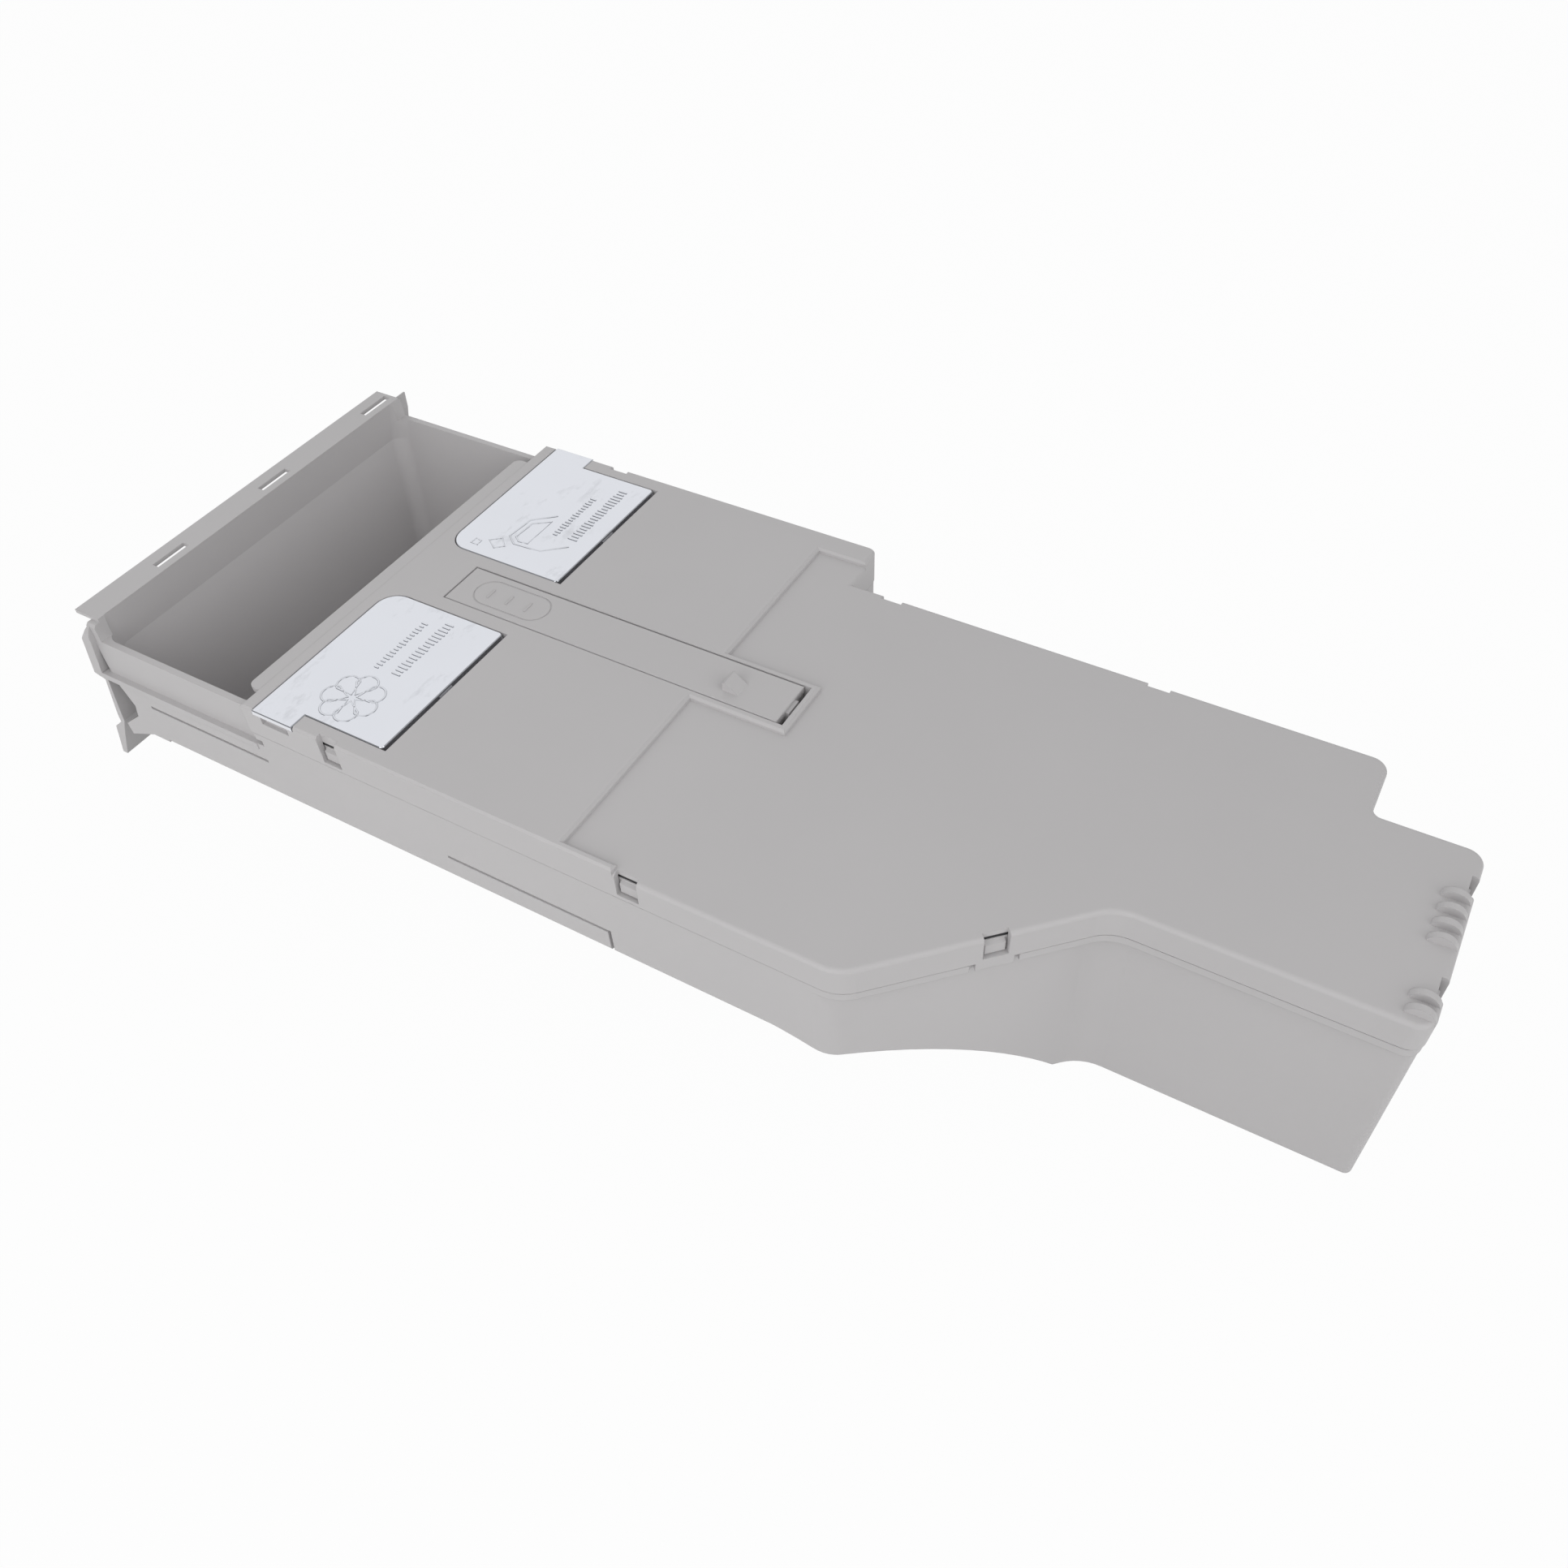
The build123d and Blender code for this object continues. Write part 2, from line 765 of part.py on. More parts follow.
# Cover: one moulding that closes both tanks
with BuildPart() as tank_cover:
    with BuildSketch(Plane.XY.offset(skirt_z)):
        add(plan(0))
    extrude(amount=skirt_height)
    cover_edges = tank_cover.faces().sort_by(Axis.Z)[-1].edges()
    fillet(cover_edges, radius=edge_round)
    # Raised deck with the frame around the lever's end
    with BuildSketch(Plane.XY.offset(cover_z - edge_round)):
        with BuildLine():
            FilletPolyline(
                (half_width, skirt_front_y),
                (half_width, step_y),
                (deck_right_x, step_y),
                (deck_right_x, deck_rear_y),
                (frame_x, deck_rear_y),
                (frame_x, frame_rear_y),
                (-frame_x, frame_rear_y),
                (-frame_x, deck_rear_y),
                (deck_left_x, deck_rear_y),
                (deck_left_x, step_y),
                (-half_width, step_y),
                (-half_width, skirt_front_y),
                radius=[0, 0, 0, 0, 0, 0, 0, 0, 0, 0, block_corner_radius, 0],
                close=True,
            )
        make_face()
    extrude(amount=deck_rise + edge_round)
    deck_edges = tank_cover.faces().sort_by(Axis.Z)[-1].edges()
    chamfer(deck_edges, length=deck_bevel)
    # Front lip over the powder compartment
    lip_block = box_between(
        (lip_left_x, lip_front_y, deck_z - lip_thickness),
        (lip_right_x, skirt_front_y + 3, deck_z - lip_drop),
    )
    add(lip_block)
    fillet(
        tank_cover.edges().filter_by(Axis.Z).sort_by(Axis.Y)[:2],
        radius=lip_corner_radius,
    )
    # Room under the plate
    with BuildSketch(Plane.XY.offset(skirt_z)):
        add(plan(skirt_wall))
    extrude(amount=cover_under_z - skirt_z, mode=Mode.SUBTRACT)
    for pocket in both_sides(
        box_between(
            (frame_x + well_wall, lid_rear_y + lid_rear_gap + 6, cover_under_z - 1),
            (-deck_left_x - 2, deck_rear_y - 2, cover_z),
        )
    ):
        add(pocket, mode=Mode.SUBTRACT)
    # Collars, hinge troughs and the lever's well hang under the plate
    for side in (1, -1):
        add(mouth_block(side, collar_wall, collar_z, cover_under_z + 0.5))
        add(trough_block(side, trough_wall, cover_under_z + 0.5))
    add(lever_well(well_wall, well_floor_z - well_wall, cover_under_z + 0.5))
    for side in (1, -1):
        with BuildSketch(Plane.XY.offset(seat_z)):
            add(lid_plan(side, lid_gap, 1.0))
        extrude(amount=deck_z - seat_z + 1, mode=Mode.SUBTRACT)
        add(trough_block(side, 0, deck_z + 1), mode=Mode.SUBTRACT)
        add(mouth_block(side, 0, collar_z - 1, deck_z), mode=Mode.SUBTRACT)
        # Groove for the seal around the mouth
        seal_groove = mouth_block(side, seal_offset + seal_width, seat_z - seal_depth, seat_z)
        seal_groove -= mouth_block(side, seal_offset, seat_z - seal_depth, seat_z)
        add(seal_groove, mode=Mode.SUBTRACT)
        # Thumb relief under the lid's tab
        relief = box_between(
            (half_width - relief_depth, lid_front_y + relief_margin, seat_z - relief_height),
            (half_width + 1, lid_tab_rear_y - relief_margin, seat_z + 0.5),
        )
        add(relief if side > 0 else mirror(relief, about=Plane.YZ, mode=Mode.PRIVATE), mode=Mode.SUBTRACT)
        # Sockets for the hinge pin
        with BuildSketch(Plane.YZ.offset(side * (lid_inner_x - lid_gap - lid_pin_grip))):
            with Locations((lid_pin_y, lid_pin_z)):
                Circle(lid_pin_radius)
        socket_length = lid_outer_x - lid_inner_x + 2 * (lid_gap + lid_pin_grip)
        extrude(amount=side * socket_length, mode=Mode.SUBTRACT)
    add(lever_well(0, well_floor_z, deck_z + 1), mode=Mode.SUBTRACT)
    with BuildSketch(Plane.YZ):
        with Locations((lever_pin_y, lever_pin_z)):
            Circle(lever_pin_radius)
    extrude(amount=lever_pin_half, both=True, mode=Mode.SUBTRACT)
    # Tabs that hang over the breaks in the flange
    for x, y, angle in tab_clips:
        with BuildSketch(clip_plane(x, y, angle)):
            with BuildLine():
                Polyline(
                    (-clip_tab_thickness, flange_z + 0.3),
                    (0, flange_z + 0.3),
                    (0, skirt_z + 0.5),
                    (-clip_tab_thickness, skirt_z + 0.5),
                    close=True,
                )
            make_face()
        extrude(amount=clip_tab_half, both=True)
    # Notches for the clip hooks, open at the cover's top
    for x, y, angle in side_clips + tab_clips:
        with BuildSketch(clip_plane(x, y, angle)):
            with BuildLine():
                Polyline(
                    (-clip_depth, skirt_z + clip_foot),
                    (1, skirt_z + clip_foot),
                    (1, deck_z + 1),
                    (-clip_depth, deck_z + 1),
                    close=True,
                )
            make_face()
        extrude(amount=clip_width / 2, both=True, mode=Mode.SUBTRACT)
    # Crescent fins along the rear edge
    for x in fin_x:
        with BuildSketch(Plane.YZ.offset(x - fin_thickness / 2)):
            with BuildLine():
                fin_arc = ThreePointArc(
                    (rear_y - 0.4 - fin_length, cover_z - 0.2),
                    (rear_y - 0.4 - fin_length / 2, cover_z + fin_rise),
                    (rear_y - 0.4, cover_z - 1.8),
                )
                Polyline(
                    fin_arc @ 1,
                    (rear_y - 2.5, cover_z - 1.9),
                    (rear_y - fin_length, cover_z - 1.0),
                    fin_arc @ 0,
                )
            make_face()
        extrude(amount=fin_thickness)
save(tank_cover, "tank_cover")

# Soft seal between the tanks' rim and the cover
with BuildPart() as tank_gasket:
    with BuildSketch(Plane.XY.offset(rim_z)):
        add(plan(rim_inset + (rim_wall - gasket_width) / 2))
        with BuildSketch(mode=Mode.SUBTRACT):
            add(plan(rim_inset + (rim_wall + gasket_width) / 2))
    extrude(amount=gasket_height)
save(tank_gasket, "tank_gasket")

# Chromed lids, their hinge pins and the seals around the mouths
for side, tank in ((-1, "detergent"), (1, "softener")):
    with BuildPart() as lid:
        with BuildSketch(Plane.XY.offset(lid_z)):
            add(lid_plan(side, 0, lid_tab_reach))
        extrude(amount=lid_thickness)
        lid_top = lid.faces().sort_by(Axis.Z)[-1].edges()
        chamfer(lid_top, length=lid_bevel)
        lid_middle = side * (lid_inner_x + lid_outer_x) / 2
        barrel_length = lid_outer_x - lid_inner_x - 2 * barrel_end_gap
        with BuildSketch(Plane.YZ.offset(lid_middle)):
            with Locations((lid_pin_y, lid_pin_z)):
                Circle(barrel_radius)
        extrude(amount=barrel_length / 2, both=True)
        with BuildSketch(Plane.YZ.offset(lid_middle)):
            with Locations((lid_pin_y, lid_pin_z)):
                Circle(knuckle_radius)
        extrude(amount=knuckle_width / 2, both=True)
        # Plug that drops into the mouth
        add(mouth_block(side, -plug_gap, lid_z - plug_height, lid_z + 0.5))
        add(mouth_block(side, -plug_gap - plug_wall, lid_z - plug_height, lid_z), mode=Mode.SUBTRACT)
        with BuildSketch(Plane.YZ.offset(lid_middle)):
            with Locations((lid_pin_y, lid_pin_z)):
                Circle(lid_pin_bore)
        extrude(amount=barrel_length, both=True, mode=Mode.SUBTRACT)
    save(lid, f"{tank}_lid")

    with BuildPart() as lid_pin:
        with BuildSketch(Plane.YZ.offset(lid_middle)):
            with Locations((lid_pin_y, lid_pin_z)):
                Circle(lid_pin_radius)
        extrude(
            amount=(lid_outer_x - lid_inner_x) / 2 + lid_gap + lid_pin_grip,
            both=True,
        )
    save(lid_pin, f"{tank}_lid_pin")

    with BuildPart() as lid_seal:
        add(mouth_block(side, seal_offset + seal_width, seat_z - seal_depth, seat_z))
        add(mouth_block(side, seal_offset, seat_z - seal_depth, seat_z), mode=Mode.SUBTRACT)
    save(lid_seal, f"{tank}_lid_seal")

# Release lever
with BuildPart() as release_lever:
    add(
        box_between(
            (-lever_half, lever_front_y, deck_z - lever_thickness),
            (lever_half, lever_rear_y, deck_z),
        )
    )
    chamfer(release_lever.faces().sort_by(Axis.Z)[-1].edges(), length=lever_bevel)
    for rib in both_sides(
        box_between(
            (lever_half - lever_rib, pad_front_y, deck_z - lever_thickness - lever_rib_depth),
            (lever_half, lever_pin_y, deck_z - lever_thickness),
        )
    ):
        add(rib)
    with BuildSketch(Plane.YZ):
        with Locations((lever_pin_y, lever_pin_z)):
            Circle(lever_barrel_radius)
    extrude(amount=lever_half, both=True)
    # Stop tongue that shows in the gap behind the lever
    add(
        box_between(
            (-tongue_half, lever_rear_y - 1, lever_pin_z),
            (tongue_half, lever_rear_y + tongue_reach, deck_z - 1.2),
        )
    )
    # Wedge that catches the housing
    with BuildSketch(Plane.YZ.offset(nub_x - nub_half)):
        with BuildLine():
            Polyline(
                (nub_front_y, deck_z - 0.5),
                (nub_front_y, deck_z + nub_height - 1),
                (nub_crest_y, deck_z + nub_height),
                (nub_rear_y, deck_z),
                (nub_rear_y, deck_z - 0.5),
                close=True,
            )
        make_face()
    extrude(amount=2 * nub_half)
    # Oval finger pad with three bars
    pad_length = pad_rear_y - pad_front_y
    pad_middle_y = (pad_rear_y + pad_front_y) / 2
    with BuildSketch(Plane.XY.offset(deck_z)):
        with Locations((0, pad_middle_y)):
            SlotOverall(pad_length, 2 * pad_half_width, rotation=90)
            SlotOverall(
                pad_length - 2 * pad_groove,
                2 * (pad_half_width - pad_groove),
                rotation=90,
                mode=Mode.SUBTRACT,
            )
    extrude(amount=-pad_groove_depth, mode=Mode.SUBTRACT)
    with BuildSketch(Plane.XY.offset(deck_z)):
        with Locations(*[(pad_bar_x, y) for y in pad_bar_y]):
            Rectangle(pad_bar_length, pad_bar_width)
    extrude(amount=pad_bar_height)
    with BuildSketch(Plane.YZ):
        with Locations((lever_pin_y, lever_pin_z)):
            Circle(lever_pin_radius + running_gap)
    extrude(amount=lever_half + 1, both=True, mode=Mode.SUBTRACT)
save(release_lever, "release_lever")

with BuildPart() as lever_pin:
    with BuildSketch(Plane.YZ):
        with Locations((lever_pin_y, lever_pin_z)):
            Circle(lever_pin_radius)
    extrude(amount=lever_pin_half, both=True)
save(lever_pin, "lever_pin")

with BuildPart() as lever_spring:
    spring_height = deck_z - lever_thickness - well_floor_z - 2 * spring_seat
    spring_part = coil(spring_radius, spring_wire, spring_height, spring_turns)
    add(Pos(0, spring_y, well_floor_z + spring_seat) * spring_part)
save(lever_spring, "lever_spring")

# Outlet valve and level float of each tank
for tank, x in (("detergent", detergent_x), ("softener", softener_x)):
    with BuildPart() as valve_cage:
        with BuildSketch(rear_plane(x, seat_gap)):
            Circle(cage_radius)
        extrude(amount=cage_length)
        with BuildSketch(rear_plane(x, 0)):
            Circle(cage_radius - cage_wall)
        extrude(amount=cage_length - cage_wall, mode=Mode.SUBTRACT)
        with BuildSketch(rear_plane(x, 0)):
            Circle(poppet_stem_radius + running_gap)
        extrude(amount=cage_length + 1, mode=Mode.SUBTRACT)
        with BuildSketch(rear_plane(x, boss_length + 1)):
            with PolarLocations(cage_radius, 4):
                Rectangle(cage_radius, cage_slot)
        extrude(amount=cage_length - boss_length - 3, mode=Mode.SUBTRACT)
    save(valve_cage, f"{tank}_valve_cage")

    with BuildPart() as valve_poppet:
        with BuildSketch(rear_plane(x, ring_gap)):
            Circle(poppet_head_radius)
        extrude(amount=poppet_head)
        with BuildSketch(rear_plane(x, ring_gap)):
            Circle(poppet_stem_radius)
        extrude(amount=cage_length + poppet_stem_out)
        with BuildSketch(rear_plane(x, ring_gap)):
            Circle(ring_radius + ring_wire)
            Circle(ring_radius - ring_wire, mode=Mode.SUBTRACT)
        extrude(amount=ring_wire, mode=Mode.SUBTRACT)
    save(valve_poppet, f"{tank}_valve_poppet")

    with BuildPart() as valve_ring:
        with BuildSketch(rear_plane(x, ring_gap)):
            Circle(ring_radius + ring_wire)
            Circle(ring_radius - ring_wire, mode=Mode.SUBTRACT)
        extrude(amount=ring_wire)
    save(valve_ring, f"{tank}_valve_seal")

    with BuildPart() as valve_spring:
        spring_start = ring_gap + poppet_head + spring_seat
        spring_end = cage_length - cage_wall - spring_seat
        add(
            Pos(x, rear_wall_in_y - spring_start, valve_z)
            * Rot(90, 0, 0)
            * coil(valve_spring_radius, valve_spring_wire, spring_end - spring_start, valve_spring_turns)
        )
    save(valve_spring, f"{tank}_valve_spring")

    # The float hangs down and back from its pin
    hang = radians(float_hang)
    float_y = float_pin_y + float_arm * cos(hang)
    float_z = float_pin_z - float_arm * sin(hang)
    with BuildPart() as level_float:
        add(
            box_between(
                (x - float_half_x, float_y - float_half_y, float_z - float_half_z),
                (x + float_half_x, float_y + float_half_y, float_z + float_half_z),
            )
        )
        fillet(level_float.edges(), radius=float_round)
        with BuildSketch(Plane.YZ.offset(x)):
            with Locations((float_pin_y, float_pin_z)):
                Circle(float_barrel_radius)
        extrude(amount=float_barrel_half, both=True)
        with BuildSketch(Plane.YZ.offset(x)):
            arm_middle = ((float_pin_y + float_y) / 2, (float_pin_z + float_z) / 2)
            with Locations(Location(arm_middle, -float_hang)):
                Rectangle(float_arm, float_arm_width)
        extrude(amount=float_arm_width / 2, both=True)
        with BuildSketch(Plane.YZ.offset(x)):
            with Locations((float_pin_y, float_pin_z)):
                Circle(float_pin_radius + running_gap)
        extrude(amount=float_barrel_half + 1, both=True, mode=Mode.SUBTRACT)
        with BuildSketch(Plane((x, float_y, float_z - float_half_z))):
            Circle(magnet_radius)
        extrude(amount=magnet_height, mode=Mode.SUBTRACT)
    save(level_float, f"{tank}_float")

    with BuildPart() as float_magnet:
        with BuildSketch(Plane((x, float_y, float_z - float_half_z))):
            Circle(magnet_radius)
        extrude(amount=magnet_height)
    save(float_magnet, f"{tank}_float_magnet")

    with BuildPart() as float_pin:
        low_x, high_x = float_walls[tank]
        with BuildSketch(Plane.YZ.offset(low_x)):
            with Locations((float_pin_y, float_pin_z)):
                Circle(float_pin_radius)
        extrude(amount=high_x - low_x)
    save(float_pin, f"{tank}_float_pin")
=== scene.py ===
"""Looks of the detergent dispenser drawer: finishes, raised marks, light and camera.

Metres, in the frame of the CAD model: X to the user's right, Y from the front
panel to the back, Z up from the sump's underside.
"""

from math import cos, pi, radians, sin

import bpy
from bpy.props import (
    FloatProperty,
    FloatVectorProperty,
    IntProperty,
    PointerProperty,
)
from mathutils import Matrix, Vector


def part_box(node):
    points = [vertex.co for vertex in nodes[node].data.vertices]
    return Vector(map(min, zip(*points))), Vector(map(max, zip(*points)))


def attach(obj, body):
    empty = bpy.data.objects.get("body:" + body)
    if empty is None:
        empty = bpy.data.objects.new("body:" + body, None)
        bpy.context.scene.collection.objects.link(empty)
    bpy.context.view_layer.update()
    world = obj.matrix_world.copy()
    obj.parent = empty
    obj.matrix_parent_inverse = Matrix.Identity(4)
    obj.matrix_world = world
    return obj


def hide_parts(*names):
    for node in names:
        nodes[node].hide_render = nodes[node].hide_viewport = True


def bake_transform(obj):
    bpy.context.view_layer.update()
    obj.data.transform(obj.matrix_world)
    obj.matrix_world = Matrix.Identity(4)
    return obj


bl_info = {
    "name": "Detergent dispenser drawer",
    "version": (1, 0, 0),
    "blender": (4, 5, 0),
    "location": "3D View > Sidebar > Drawer",
    "description": "Finishes, raised marks, light and camera for a dispenser drawer",
    "category": "Object",
}

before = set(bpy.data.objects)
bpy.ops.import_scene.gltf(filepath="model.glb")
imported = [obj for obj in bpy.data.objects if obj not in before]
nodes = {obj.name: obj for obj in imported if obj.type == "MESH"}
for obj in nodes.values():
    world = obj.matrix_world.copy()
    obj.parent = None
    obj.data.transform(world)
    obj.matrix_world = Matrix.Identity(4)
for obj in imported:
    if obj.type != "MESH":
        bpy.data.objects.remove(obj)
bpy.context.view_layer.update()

MM = 0.001
LID_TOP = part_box("softener_lid")[1].z
TANKS = ("detergent", "softener")
MOULDINGS = ("drawer_body", "tank_cover", "release_lever")

# Raised marks on the lids, in millimetres: the flower's centre, outlines for the
# bottle, and rows of ticks as (start, end, count, length)
FLOWER_CENTRE = (68.7, -112.5)
BOTTLE = [(-50.9, -110.7), (-43.7, -119.1), (-31.7, -120.4), (-28.2, -115.8)]
BOTTLE += [(-29.0, -103.6), (-36.5, -95.0)]
BOTTLE_LABEL = [(-46.7, -110.8), (-42.1, -117.0), (-32.4, -117.8)]
BOTTLE_LABEL += [(-30.3, -115.0), (-30.7, -110.9)]
BOTTLE_CAP = [(-25.9, -126.0), (-29.1, -122.0), (-25.3, -118.1), (-22.6, -121.2)]
DROP = [(-24.4, -131.3), (-24.0, -128.6), (-21.2, -128.4), (-21.3, -131.6)]
TICK_WIDTH = 0.55
TICK_ROWS = {
    "detergent": (
        ((-76.0, -96.6), (-41.0, -96.6), 20, 4.6),
        ((-66.5, -104.7), (-40.5, -104.7), 16, 3.0),
    ),
    "softener": (
        ((22.2, -106.8), (52.0, -106.8), 17, 4.6),
        ((25.8, -115.6), (52.4, -115.6), 16, 3.0),
    ),
}
FIRST_TICK_SEED = 11
SHORTEST_TICK = 0.55

# Petals: half the arc that the outline runs over, its points, and shares of
# the flower's radius
PETAL_ARC = pi * 0.55
PETAL_POINTS = 13
PETAL_MIDDLE = 0.66
PETAL_ROOT = 0.14
PETAL_FILL = 0.82

# Stage: floor, lamps as (place, size), and the photograph's camera with its
# turns in degrees and its lens in millimetres
FLOOR_HALF = 6.0
FLOOR_GREY = (0.5, 0.5, 0.5, 1)
FLOOR_GLOW = 0.97
LIDS_MIDDLE = Vector((0, -0.11, 0.09))
DRAWER_MIDDLE = Vector((0, 0, 0.07))
SIDE_LAMP = (Vector((0.72, -0.04, 0.40)), 0.8)
FRONT_LAMP = (Vector((-1.05, -1.28, 1.32)), 1.7)
REAR_LAMP = (Vector((0.25, 1.15, 0.85)), 1.0)
MIRRORED_SIDE = (-0.65, -0.42, 0.70)
CAMERA_PLACE = (0.28743, 0.20212, 0.416)
CAMERA_YAW, CAMERA_PITCH, CAMERA_ROLL = 212.22, 47.19, 3.20
CAMERA_LENS = 31.26


# Finishes


def new_material(name):
    """A material with a principled shader, and a function that adds a node."""
    material = bpy.data.materials.new(name)
    material.use_nodes = True
    tree = material.node_tree
    shader = tree.nodes["Principled BSDF"]

    def add(kind, **inputs):
        node = tree.nodes.new(kind)
        for key, value in inputs.items():
            node.inputs[key.replace("_", " ")].default_value = value
        return node

    return material, tree, shader, add


def object_noise(tree, add, scale, detail=3.0, roughness=0.55, stretch=(1, 1, 1)):
    """Noise on Object coordinates, its features about 1 / scale metres wide."""
    place = tree.nodes.new("ShaderNodeTexCoord")
    mapping = tree.nodes.new("ShaderNodeMapping")
    mapping.inputs["Scale"].default_value = stretch
    noise = add("ShaderNodeTexNoise", Scale=scale, Detail=detail, Roughness=roughness)
    tree.links.new(place.outputs["Object"], mapping.inputs["Vector"])
    tree.links.new(mapping.outputs["Vector"], noise.inputs["Vector"])
    return noise.outputs["Fac"]


def blend_tones(tree, factor, low, high, start=0.3, end=0.7):
    """A colour that runs from low to high as the factor rises from start to end."""
    ramp = tree.nodes.new("ShaderNodeValToRGB")
    ramp.color_ramp.elements[0].position = start
    ramp.color_ramp.elements[1].position = end
    ramp.color_ramp.elements[0].color = (*low, 1)
    ramp.color_ramp.elements[1].color = (*high, 1)
    tree.links.new(factor, ramp.inputs["Fac"])
    return ramp.outputs["Color"]


def lift_surface(tree, add, shader, height, distance, strength, edge=None):
    """Bump by a height, on top of softened edges where edge gives their radius."""
    bump = add("ShaderNodeBump", Strength=strength, Distance=distance)
    tree.links.new(height, bump.inputs["Height"])
    if edge:
        soften = add("ShaderNodeBevel", Radius=edge)
        soften.samples = 6
        tree.links.new(soften.outputs["Normal"], bump.inputs["Normal"])
    tree.links.new(bump.outputs["Normal"], shader.inputs["Normal"])


def shade(colour, factor):
    return tuple(channel * factor for channel in colour)


def moulded_plastic(name, settings):
    """Satin polypropylene: fine grain, faint flow clouds, soft edges."""
    material, tree, shader, add = new_material(name)
    clouds = object_noise(tree, add, 14.0, detail=4.0)
    colour = blend_tones(
        tree,
        clouds,
        shade(settings.colour, 1 - settings.clouding),
        shade(settings.colour, 1 + settings.clouding),
    )
    tree.links.new(colour, shader.inputs["Base Color"])
    sheen_map = object_noise(tree, add, 45.0, detail=5.0)
    polish = tree.nodes.new("ShaderNodeMapRange")
    polish.inputs["To Min"].default_value = settings.roughness - 0.05
    polish.inputs["To Max"].default_value = settings.roughness + 0.05
    tree.links.new(sheen_map, polish.inputs["Value"])
    tree.links.new(polish.outputs["Result"], shader.inputs["Roughness"])
    shader.inputs["Specular IOR Level"].default_value = 0.45
    grain = object_noise(tree, add, 2200.0, detail=2.0)
    lift_surface(tree, add, shader, grain, 0.00004, settings.grain, settings.edge)
    return material


def plated_chrome(name, settings):
    """Chrome plating with the haze and wiped smudges of handled parts."""
    material, tree, shader, add = new_material(name)
    smudges = object_noise(
        tree, add, 60.0, detail=6.0, roughness=0.65, stretch=(1, 1.8, 1)
    )
    colour = blend_tones(
        tree,
        smudges,
        shade(settings.colour, 1 - settings.smudging),
        settings.colour,
        start=0.28,
        end=0.42,
    )
    tree.links.new(colour, shader.inputs["Base Color"])
    haze = object_noise(tree, add, 35.0, detail=5.0)
    polish = tree.nodes.new("ShaderNodeMapRange")
    polish.inputs["From Min"].default_value = 0.35
    polish.inputs["From Max"].default_value = 0.75
    polish.inputs["To Min"].default_value = settings.roughness
    polish.inputs["To Max"].default_value = settings.roughness + 0.12
    tree.links.new(haze, polish.inputs["Value"])
    tree.links.new(polish.outputs["Result"], shader.inputs["Roughness"])
    shader.inputs["Metallic"].default_value = 1.0
    waves = object_noise(tree, add, 40.0, detail=1.0)
    lift_surface(tree, add, shader, waves, 0.0002, 0.08, settings.edge)
    return material


def plain_finish(name, colour, roughness, metallic, grain_scale, grain=0.3):
    """One tone with a fine surface, for the small and hidden pieces."""
    material, tree, shader, add = new_material(name)
    tone = object_noise(tree, add, 120.0)
    mixed = blend_tones(tree, tone, shade(colour, 0.94), shade(colour, 1.05))
    tree.links.new(mixed, shader.inputs["Base Color"])
    shader.inputs["Roughness"].default_value = roughness
    shader.inputs["Metallic"].default_value = metallic
    surface = object_noise(tree, add, grain_scale)
    lift_surface(tree, add, shader, surface, 0.00004, grain, 0.0002)
    return material


def finish(names, material):
    """Give CAD nodes a finish through their objects' own material slots."""
    for name in names:
        if name not in nodes:
            raise RuntimeError(f"the drawer has no piece called {name}")
        for place in nodes[name].material_slots:
            place.material = material


# Raised marks


def add_object(name, mesh, body, material):
    """A finished piece at the origin that rides on a body."""
    piece = bpy.data.objects.new(name, mesh)
    bpy.context.scene.collection.objects.link(piece)
    mesh.materials.clear()
    mesh.materials.append(material)
    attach(piece, body)
    return piece


def strokes(name, lines, width, flatness=0.5):
    """Softly raised lines as one mesh; each line is (points, closed)."""
    curve = bpy.data.curves.new(name, "CURVE")
    curve.dimensions = "3D"
    curve.bevel_depth = width / 2
    curve.bevel_resolution = 3
    curve.use_fill_caps = True
    for points, closed in lines:
        spline = curve.splines.new("POLY")
        spline.points.add(len(points) - 1)
        for point, (x, y) in zip(spline.points, points):
            point.co = (x, y, LID_TOP, 1)
        spline.use_cyclic_u = closed
    drawn = bpy.data.objects.new(name, curve)
    bpy.context.scene.collection.objects.link(drawn)
    depsgraph = bpy.context.evaluated_depsgraph_get()
    mesh = bpy.data.meshes.new_from_object(drawn.evaluated_get(depsgraph))
    bpy.data.objects.remove(drawn)
    mesh.transform(Matrix.Translation((0, 0, -LID_TOP)))
    mesh.transform(Matrix.Diagonal((1, 1, flatness, 1)))
    mesh.transform(Matrix.Translation((0, 0, LID_TOP)))
    for face in mesh.polygons:
        face.use_smooth = True
    return mesh


def in_metres(points):
    return [(x * MM, y * MM) for x, y in points]


def petal(centre, angle, radius, spread):
    """Outline of one petal: two straight sides and a round tip."""
    points = []
    for step in range(PETAL_POINTS):
        turn = -PETAL_ARC + 2 * PETAL_ARC * step / (PETAL_POINTS - 1)
        reach = radius * (PETAL_MIDDLE + (1 - PETAL_MIDDLE) * cos(turn))
        points.append((reach, spread * sin(turn)))
    points.append((radius * PETAL_ROOT, 0.0))
    return [
        (
            centre[0] + x * cos(angle) - y * sin(angle),
            centre[1] + x * sin(angle) + y * cos(angle),
        )
        for x, y in points
    ]


def socket_names(tree):
    """Identifiers of a node tree's inputs by their names."""
    return {
        item.name: item.identifier
        for item in tree.interface.items_tree
        if item.item_type == "SOCKET" and item.in_out == "INPUT"
    }


